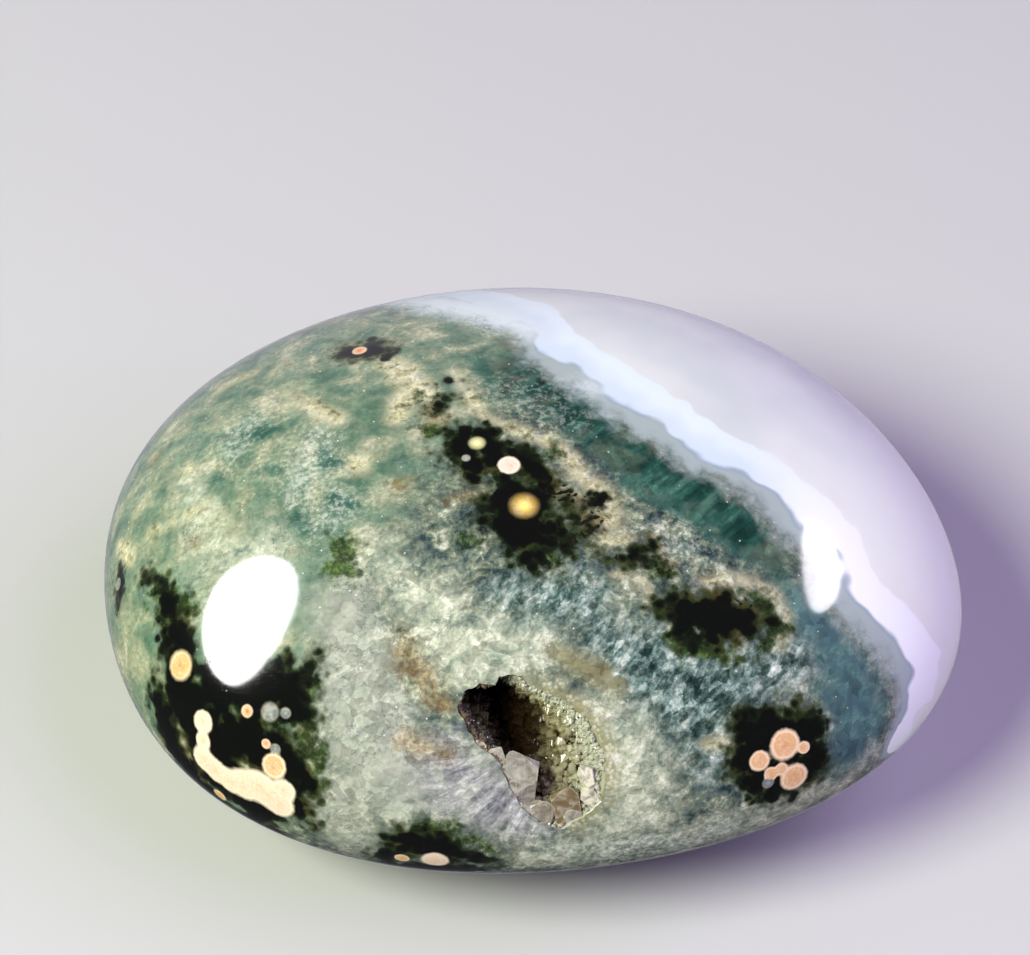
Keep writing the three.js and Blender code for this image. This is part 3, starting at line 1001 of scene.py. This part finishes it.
    # The slope fades into the polish at its right, through tan grains.
    beside = soft(frayed("slope_edge", 2.2, 4.5), 1.3, -0.9)
    grains = mix(soft(grit["Distance"], 0.2, 0.5), hex_colour("#c6c5ab"), hex_colour("#8f8b63"))
    ground = mix(product(beside, 0.8), ground, grains)

    # Broken stone of the hollow's own wall, which has no polish. Painted shade darkens it to near black
    # with depth, and towards the left it turns dark reddish brown, partly its own colour and partly
    # painted shade.
    inside = soft(field("depth"), 0.01, 0.10)
    wall = mix(soft(field("depth"), 0.4, 2.0), hex_colour("#9a987f"), hex_colour("#5d5132"))
    wall = mix(soft(field("depth"), 1.6, 3.2), wall, hex_colour("#1c140b"))
    wall = mix(product(soft(add("SeparateXYZ", {0: mm}), 0.0, -2.5), 0.85), wall, hex_colour("#3a2519"))
    ground = mix(inside, ground, wall)

    scratch = cloud(add("Mapping", {"Vector": mm, "Scale": (0.4, 6.0, 6.0)}), 1.0, 2.0)
    polish = math_node("MULTIPLY_ADD", soft(scratch, 0.55, 0.75), 0.05, 0.07)
    roughness = math_node("MULTIPLY_ADD", inside, 0.5, polish)
    pit = soft(cloud(mm, 0.9, 2.0), 0.80, 0.72)
    bump = add("Bump", {"Strength": 0.15, "Distance": 0.00005, "Height": pit})
    shader = add("BsdfPrincipled", {
        "Base Color": ground, "Roughness": roughness, "IOR": 1.54, "Normal": bump,
        "Subsurface Weight": glow, "Subsurface Scale": 0.006,
        "Subsurface Radius": (1.0, 1.0, 1.1),
    })
    add("OutputMaterial", {"Surface": shader})
    return material


def quartz_material(druse):
    """Quartz, grown as flat-faced crystals and stained by iron, with painted shade in the vug's depth.

    The eye gets glassy facets that glint: painted shade takes them to near black in the depth and on the
    hollow's undercut left, olive on the slope, and pale and striated at the rim.
    """
    material, add = new_material("druzy_quartz_deep_shaded")

    def mix(mask, low, high):
        return add("Mix", {0: mask, 6: low, 7: high}, 2, data_type="RGBA")

    place = add("TexCoord", output="Object")
    mm = add("VectorMath", {0: place, 3: MM}, operation="SCALE")
    stain = add("TexNoise", {"Vector": mm, "Scale": 1.1, "Detail": 4.0})
    rim = add("Attribute", output="Fac", attribute_name="rim")
    depth = add("Attribute", output="Fac", attribute_name="depth")
    slope = mix(add("MapRange", {0: stain, 1: 0.35, 2: 0.65}), druse.slope, hex_colour("#b8b088"))
    lot = add("Attribute", output="Fac", attribute_name="lot")
    slope = mix(add("MapRange", {0: lot, 1: 0.75, 2: 0.95, 4: 0.5}), slope, hex_colour("#dcd6b4"))
    shore = add("MapRange", {0: depth, 1: 0.35, 2: 2.2}, interpolation_type="SMOOTHSTEP")
    slope = mix(shore, hex_colour("#c6c8b2"), slope)
    # Painted shade: the crystals turn brown-black deeper in the hollow, and on its undercut left side the
    # lip runs from reddish brown to near black.
    deepening = add("MapRange", {0: depth, 1: 1.6, 2: 3.5}, interpolation_type="SMOOTHSTEP")
    tone = mix(deepening, slope, druse.hollow_shade)
    across = add("SeparateXYZ", {0: mm})
    leftward = add("MapRange", {0: across, 1: 0.0, 2: -2.5, 4: 0.85}, interpolation_type="SMOOTHSTEP")
    shaded_lip = mix(add("MapRange", {0: depth, 1: 0.3, 2: 0.9}), hex_colour("#5f402c"), hex_colour("#1b120b"))
    tone = mix(leftward, tone, shaded_lip)
    edge = add("ValToRGB", {0: lot}, stops=[
        (0.0, hex_colour("#6f5636")), (0.3, hex_colour("#93805f")), (0.6, hex_colour("#aaa59b")),
        (1.0, hex_colour("#f7f2da")),
    ])
    fused = add("MapRange", {0: across, 1: 0.9, 2: -1.4, 4: 0.7}, interpolation_type="SMOOTHSTEP")
    edge = mix(fused, edge, hex_colour("#acaaa0"))
    veil = add("TexNoise", {
        "Vector": mm, "Scale": 1.0, "Detail": 5.0, "Roughness": 0.62, "Distortion": 0.9,
    })
    edge = mix(add("MapRange", {0: veil, 1: 0.52, 2: 0.36, 4: 0.7}), edge, hex_colour("#6b6253"))
    edge = mix(add("MapRange", {0: veil, 1: 0.52, 2: 0.68, 4: 0.6}), edge, hex_colour("#d3cfc0"))
    # Painted highlight: a bright cream line along the crystals' edges.
    edge_glint = add("VectorMath", {
        0: add("Bevel", {"Radius": 0.00012}), 1: add("NewGeometry", output="True Normal"),
    }, 1, operation="DOT_PRODUCT")
    edge = mix(add("MapRange", {0: edge_glint, 1: 0.98, 2: 0.88, 4: 0.6}), edge, hex_colour("#e8dfc4"))
    flush = add("MapRange", {0: depth, 1: 0.5, 2: 2.2, 4: 0.75}, interpolation_type="SMOOTHSTEP")
    edge = mix(flush, edge, druse.rim)
    shallow = add("MapRange", {0: depth, 1: 3.4, 2: 1.6})
    tone = mix(add("Math", {0: rim, 1: shallow}, operation="MULTIPLY"), tone, edge)
    stripe = add("TexWave", {"Vector": mm, "Scale": 1.4, "Distortion": 1.5, "Detail": 2.0})
    bump = add("Bump", {"Strength": 0.25, "Distance": 0.00004, "Height": stripe})
    shader = add("BsdfPrincipled", {
        "Base Color": tone, "Roughness": 0.12, "IOR": 1.544, "Transmission Weight": 0.25,
        "Normal": bump,
    })
    add("OutputMaterial", {"Surface": shader})
    return material


# Modelling the stone.

FINE_REACH = 1.3
ORB_REACH = 1.5


def refined_sphere(pebble, moss, orbs):
    """A unit sphere with smaller faces where the moss and the orbs will be."""
    bm = bmesh.new()
    bmesh.ops.create_icosphere(bm, subdivisions=7, radius=1.0)
    for level in range(2):
        faces = bm.faces[:]
        centres = pebble_points(unit_rows(rows_of(f.calc_center_median() for f in faces)), pebble)
        near_orb = orb_field(centres, orbs)[0] < ORB_REACH
        if level == 0:
            near_orb |= np.abs(moss.measure(centres)) < FINE_REACH
        edges = {edge for face, near in zip(faces, near_orb) if near for edge in face.edges}
        bmesh.ops.subdivide_edges(bm, edges=list(edges), cuts=1, use_grid_fill=True)
        bmesh.ops.triangulate(bm, faces=bm.faces[:])
        for vertex in bm.verts:
            vertex.co.normalize()
    return bm


def stone_mesh(pebble, moss, orbs):
    bm = refined_sphere(pebble, moss, orbs)
    places = pebble_points(rows_of(v.co for v in bm.verts), pebble)
    for vertex, place in zip(bm.verts, places):
        vertex.co = place / MM
    bmesh.ops.recalc_face_normals(bm, faces=bm.faces[:])
    mesh = bpy.data.meshes.new("polished_stone")
    bm.to_mesh(mesh)
    bm.free()
    return mesh


def mark_stone(mesh, surface, moss, orbs, vug_middle):
    """Measures every marking at each vertex and keeps the distances for the material."""
    points = np.empty(len(mesh.vertices) * 3, dtype=np.float32)
    mesh.vertices.foreach_get("co", points)
    points = points.reshape(-1, 3).astype(float) * MM
    store(mesh, "moss", "FLOAT", moss.measure(points))
    groups = {
        "green_moss": GREEN_MOSS, "rust": RUST, "cream": CREAM, "teal": TEAL, "quartz": QUARTZ_AND_LOWER_LIGHT,
        "glass": GLASS, "columns": COLUMNS, "pale": PALE, "slate": SLATE, "haze": HAZE,
        "olive": OLIVE, "flecks": FLECKS, "slope_edge": SLOPE_EDGE,
    }
    for name, strokes in groups.items():
        store(mesh, name, "FLOAT", Shape(seen_strokes(surface, strokes)).measure(points))
    share, shells, hearts = orb_field(points, orbs)
    store(mesh, "orb", "FLOAT", share)
    store(mesh, "orb_colour", "FLOAT_COLOR", shells)
    store(mesh, "orb_heart", "FLOAT_COLOR", hearts)
    inward, way = band_field(points, surface)
    store(mesh, "band", "FLOAT", inward)
    store(mesh, "band_way", "FLOAT", way)
    store(mesh, "teal_reach", "FLOAT", np.clip((way + 9) / 4, 0, 1) * np.clip((24 - way) / 6, 0, 1))
    store(mesh, "middle", "FLOAT", -(points @ np.array((0.86, -0.50, 0.0)) + 4.0))
    depth = np.zeros(len(points))
    near_vug = np.linalg.norm(points - np.array(vug_middle), axis=1) < 16
    for i in np.flatnonzero(near_vug):
        place, _ = surface.near(points[i])
        depth[i] = (place - Vector(points[i])).length
    store(mesh, "depth", "FLOAT", depth)


class PALMSTONE_OT_stone(bpy.types.Operator):
    """Model the polished pebble, cut its vug and mark it as the jasper is marked"""

    bl_idname = "palmstone.stone"
    bl_label = "Polished Stone"

    def execute(self, context):
        pebble, studio = context.scene.palm_pebble, context.scene.palm_studio
        surface = Surface(pebble, studio)
        moss = Shape(seen_strokes(surface, MOSS) + hidden_strokes(surface, HIDDEN_MOSS))
        orbs = all_orbs(surface)
        stone = new_piece("polished_stone", stone_mesh(pebble, moss, orbs))
        cutter = new_piece("vug_cutter", hollow_mesh(surface))
        cut = stone.modifiers.new("Vug", "BOOLEAN")
        cut.operation = "DIFFERENCE"
        cut.object = cutter
        cut.solver = "MANIFOLD"
        apply_modifiers(stone)
        bpy.data.objects.remove(cutter)
        vug_middle = mouth_ring(surface)[1]
        mark_stone(stone.data, surface, moss, orbs, vug_middle)
        stone.data.shade_smooth()
        stone.data.set_sharp_from_angle(angle=math.radians(35))
        stone.data.materials.clear()
        stone.data.materials.append(jasper_material(pebble, vug_middle))
        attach(stone, "root")
        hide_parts("palm_stone")
        return {"FINISHED"}


# Modelling the crust.

CRYSTAL_SIDES = 6
DRUSE_SEED = 7
SHALLOW = 0.35
FINE_DEPTH = 1.8
RIM_GAP = 0.12
CEILING_GAP = 0.03


def add_crystal(crust, foot, axis, radius, length, turn, draw, ceiling):
    """One quartz crystal: a six-sided prism with a skewed tip, cut where it would stand proud."""
    bm = bmesh.new()
    made = bmesh.ops.create_cone(
        bm, cap_ends=True, segments=CRYSTAL_SIDES, radius1=radius * 0.85, radius2=radius,
        depth=length, matrix=Matrix.Translation((0, 0, length / 2)),
    )
    verts = made["verts"]
    faces = {face for vertex in verts for face in vertex.link_faces}
    top = max(faces, key=lambda face: face.calc_center_median().z)
    tip = bmesh.ops.poke(bm, faces=[top])["verts"]
    skew = Vector((draw.uniform(-0.5, 0.5), draw.uniform(-0.5, 0.5), draw.uniform(0.8, 1.2)))
    bmesh.ops.translate(bm, verts=tip, vec=skew * radius)
    verts += tip
    flat = Matrix.Diagonal((1.0, draw.uniform(0.6, 1.0), 1.0, 1.0))
    turned = Matrix.Rotation(turn, 4, "Z")
    placed = Matrix.Translation(foot) @ axis.to_track_quat("Z", "Y").to_matrix().to_4x4()
    bmesh.ops.transform(bm, matrix=placed @ turned @ flat, verts=verts)
    point, normal = ceiling
    if any((vertex.co - point).dot(normal) > 0 for vertex in verts):
        faces = {face for vertex in verts for face in vertex.link_faces}
        edges = {edge for face in faces for edge in face.edges}
        cut = bmesh.ops.bisect_plane(
            bm, geom=[*verts, *edges, *faces], plane_co=point, plane_no=normal,
            clear_outer=True,
        )
        rim = [part for part in cut["geom_cut"] if isinstance(part, bmesh.types.BMEdge)]
        bmesh.ops.holes_fill(bm, edges=rim, sides=0)
    crystal = bpy.data.meshes.new("crystal")
    bm.to_mesh(crystal)
    bm.free()
    crust.from_mesh(crystal)
    bpy.data.meshes.remove(crystal)


class PALMSTONE_OT_crust(bpy.types.Operator):
    """Grow the quartz crystals on the walls of the vug"""

    bl_idname = "palmstone.crust"
    bl_label = "Quartz Crust"

    def execute(self, context):
        pebble, studio = context.scene.palm_pebble, context.scene.palm_studio
        druse = context.scene.palm_druse
        surface = Surface(pebble, studio)
        draw = random.Random(DRUSE_SEED)
        hollow = hollow_mesh(surface)
        outward = mouth_ring(surface)[2]
        along, up_slope = slope_frame(outward)
        hollow.calc_loop_triangles()
        walls = []
        for triangle in hollow.loop_triangles:
            corners = [hollow.vertices[i].co * MM for i in triangle.vertices]
            centre = sum(corners, Vector()) / 3
            place, normal = surface.near(centre)
            depth = (place - centre).dot(normal)
            if depth > SHALLOW:
                weight = triangle.area * (4.0 if depth < FINE_DEPTH else 1.0)
                walls.append((weight, corners, -triangle.normal))
        weights = [wall[0] for wall in walls]
        bm = bmesh.new()
        lots = []
        radius, length = druse.crystal_radius * MM, druse.crystal_length * MM
        for _, (a, b, c), inward in draw.choices(walls, weights, k=druse.crystal_count):
            foot = a.lerp(b, draw.random()).lerp(c, 1 - math.sqrt(draw.random()))
            place, normal = surface.near(foot)
            depth = (place - foot).dot(normal)
            size = draw.uniform(0.5, 1.4) * min(0.20 + 0.20 * depth, 1.0)
            axis = inward + outward * 0.6
            axis += Vector([draw.uniform(-0.5, 0.5) for _ in range(3)])
            add_crystal(
                bm, foot - inward * 0.3 * size, axis.normalized(), radius * size,
                length * size, draw.uniform(0, math.pi), draw,
                (place - normal * CEILING_GAP, normal),
            )
            lots += [draw.random()] * (len(bm.verts) - len(lots))
        small = len(bm.verts)
        for across, down, radius, length, lean_along, lean_up, turn, milky in RIM_CRYSTALS:
            tip = surface.seen(across, down)[0]
            axis = (outward + along * lean_along + up_slope * lean_up).normalized()
            place, normal = surface.near(tip - axis * length / 2)
            add_crystal(
                bm, tip - axis * (length + radius * 0.6), axis, radius, length,
                math.radians(turn), draw, (place - normal * RIM_GAP, normal),
            )
            lots += [milky] * (len(bm.verts) - len(lots))
        bm.verts.ensure_lookup_table()
        for vertex in bm.verts[small:]:
            place, normal = surface.near(vertex.co)
            height = (vertex.co - place).dot(normal) + RIM_GAP
            vertex.co -= normal * max(height, 0.0)
        bm.verts.index_update()
        rim = [float(vertex.index >= small) for vertex in bm.verts]
        depths = []
        for vertex in bm.verts:
            place, normal = surface.near(vertex.co)
            depths.append((place - vertex.co).length)
        bmesh.ops.scale(bm, vec=(1 / MM, 1 / MM, 1 / MM), verts=bm.verts[:])
        bmesh.ops.triangulate(bm, faces=bm.faces[:])
        bmesh.ops.recalc_face_normals(bm, faces=bm.faces[:])
        mesh = bpy.data.meshes.new("quartz_crust")
        bm.to_mesh(mesh)
        bm.free()
        store(mesh, "rim", "FLOAT", rim)
        store(mesh, "depth", "FLOAT", depths)
        store(mesh, "lot", "FLOAT", lots)
        crust = new_piece("quartz_crust", mesh)
        crust.data.materials.append(quartz_material(druse))
        bpy.data.meshes.remove(hollow)
        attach(crust, "root")
        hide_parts("druzy_quartz_crust")
        return {"FINISHED"}


# Studio.

FLOOR_SIZE = 6.0
KEY_PLACE = Vector((-0.391, -0.274, 0.512))
KEY_SIZE = (0.34, 0.34)
KEY_SIDE = Vector((0.0, 1.0, 0.0))
KEY_COLOUR = (0.95, 1.0, 0.82)
GLEAM_PLACE = Vector((-0.546, -0.034, 0.437))
GLEAM_SIZE = (0.55, 0.29)
GLEAM_SIDE = Vector((0.459, 0.644, 0.612))
GLEAM_COLOUR = (1.0, 1.0, 0.98)
RIM_PLACE = Vector((0.412, 0.172, 0.385))
RIM_SIZE = (0.26, 0.080)
RIM_SIDE = Vector((0.319, -0.915, 0.247))
RIM_COLOUR = (0.97, 0.92, 1.0)
FILL_PLACE = Vector((0.50, -0.12, 0.60))
FILL_SIZE = (0.8, 0.8)
FILL_SIDE = Vector((0.0, 1.0, 0.0))
FILL_COLOUR = (0.68, 0.52, 1.0)


def add_softbox(name, place, size, power, colour, side):
    """An oval light aimed at the stone, its first size measured along the side direction."""
    light = bpy.data.lights.new(name, "AREA")
    light.shape = "ELLIPSE"
    light.size, light.size_y = size
    light.energy = power
    light.color = colour
    box = bpy.data.objects.new(name, light)
    back = place.normalized()
    across = (side - back * side.dot(back)).normalized()
    axes = Matrix((across, back.cross(across), back)).transposed()
    box.matrix_world = Matrix.Translation(place) @ axes.to_4x4()
    bpy.context.scene.collection.objects.link(box)
    return box


class PALMSTONE_OT_studio(bpy.types.Operator):
    """Set the camera, the pale floor and the lights"""

    bl_idname = "palmstone.studio"
    bl_label = "Studio"

    def execute(self, context):
        scene, studio = context.scene, context.scene.palm_studio
        eye, forward, _, _ = camera_rays(studio)
        lens = bpy.data.cameras.new("photo_camera")
        lens.lens = studio.focal_length
        lens.sensor_width = SENSOR_WIDTH
        lens.clip_start = 0.01
        camera = bpy.data.objects.new("photo_camera", lens)
        camera.location = eye / MM
        camera.rotation_euler = forward.to_track_quat("-Z", "Y").to_euler()
        scene.collection.objects.link(camera)
        scene.camera = camera

        bm = bmesh.new()
        bmesh.ops.create_grid(bm, x_segments=1, y_segments=1, size=FLOOR_SIZE / 2)
        mesh = bpy.data.meshes.new("studio_floor")
        bm.to_mesh(mesh)
        bm.free()
        material, add = new_material("matte_floor_paper")
        shader = add("BsdfPrincipled", {"Base Color": studio.floor, "Roughness": 0.6})
        add("OutputMaterial", {"Surface": shader})
        mesh.materials.append(material)
        floor = new_piece("studio_floor", mesh)

        # The polish shows only the gleam and the strip, as through a polarising filter.
        key = add_softbox(
            "key_softbox", KEY_PLACE, KEY_SIZE, studio.key_power, KEY_COLOUR, KEY_SIDE,
        )
        fill = add_softbox(
            "violet_fill", FILL_PLACE, FILL_SIZE, studio.fill_power, FILL_COLOUR, FILL_SIDE,
        )
        for hidden in (key, fill, floor):
            hidden.visible_glossy = False
        gleam = add_softbox(
            "key_gleam", GLEAM_PLACE, GLEAM_SIZE, studio.gleam_power, GLEAM_COLOUR, GLEAM_SIDE,
        )
        strip = add_softbox(
            "strip_light", RIM_PLACE, RIM_SIZE, studio.rim_power, RIM_COLOUR, RIM_SIDE,
        )
        for gloss in (gleam, strip):
            gloss.visible_diffuse = False
        world = bpy.data.worlds.new("studio_air")
        world.use_nodes = True
        # The room is pale behind the stone and dark in front of it, as its polish shows.
        sky = partial(add_node, world.node_tree)
        towards = sky("SeparateXYZ", {0: sky("TexCoord", output="Generated")}, None)
        behind = sky("MapRange", {0: towards[1], 1: 0.3, 2: 0.8})
        low = sky("MapRange", {0: towards[2], 1: 0.6, 2: 0.2})
        pale = sky("Math", {0: behind, 1: low}, operation="MULTIPLY")
        strength = sky("Math", {0: pale, 1: 0.5, 2: 0.08}, operation="MULTIPLY_ADD")
        air = world.node_tree.nodes["Background"]
        air.inputs["Color"].default_value = (0.86, 0.82, 1.0, 1.0)
        world.node_tree.links.new(strength, air.inputs["Strength"])
        scene.world = world
        scene.view_settings.view_transform = "Standard"
        return {"FINISHED"}


class PALMSTONE_PT_panel(bpy.types.Panel):
    """Palm stone steps"""

    bl_idname = "PALMSTONE_PT_panel"
    bl_label = "Ocean Jasper Palm Stone"
    bl_space_type = "VIEW_3D"
    bl_region_type = "UI"
    bl_category = "Palm Stone"

    def draw(self, context):
        for name in ("palm_studio", "palm_pebble", "palm_druse"):
            settings = getattr(context.scene, name)
            for field in settings.__annotations__:
                self.layout.prop(settings, field)
        for step in STEPS:
            self.layout.operator(step)


STEPS = ("palmstone.studio", "palmstone.stone", "palmstone.crust")
GROUPS = {
    "palm_pebble": PebbleSettings,
    "palm_druse": DruseSettings,
    "palm_studio": StudioSettings,
}
CLASSES = (
    PebbleSettings, DruseSettings, StudioSettings,
    PALMSTONE_OT_studio, PALMSTONE_OT_stone, PALMSTONE_OT_crust, PALMSTONE_PT_panel,
)


def register():
    for cls in CLASSES:
        bpy.utils.register_class(cls)
    for name, group in GROUPS.items():
        setattr(bpy.types.Scene, name, bpy.props.PointerProperty(type=group))


def unregister():
    for name in GROUPS:
        delattr(bpy.types.Scene, name)
    for cls in reversed(CLASSES):
        bpy.utils.unregister_class(cls)


def main():
    register()
    bpy.ops.palmstone.studio()
    bpy.ops.palmstone.stone()
    bpy.ops.palmstone.crust()


if __name__ == "__main__":
    main()
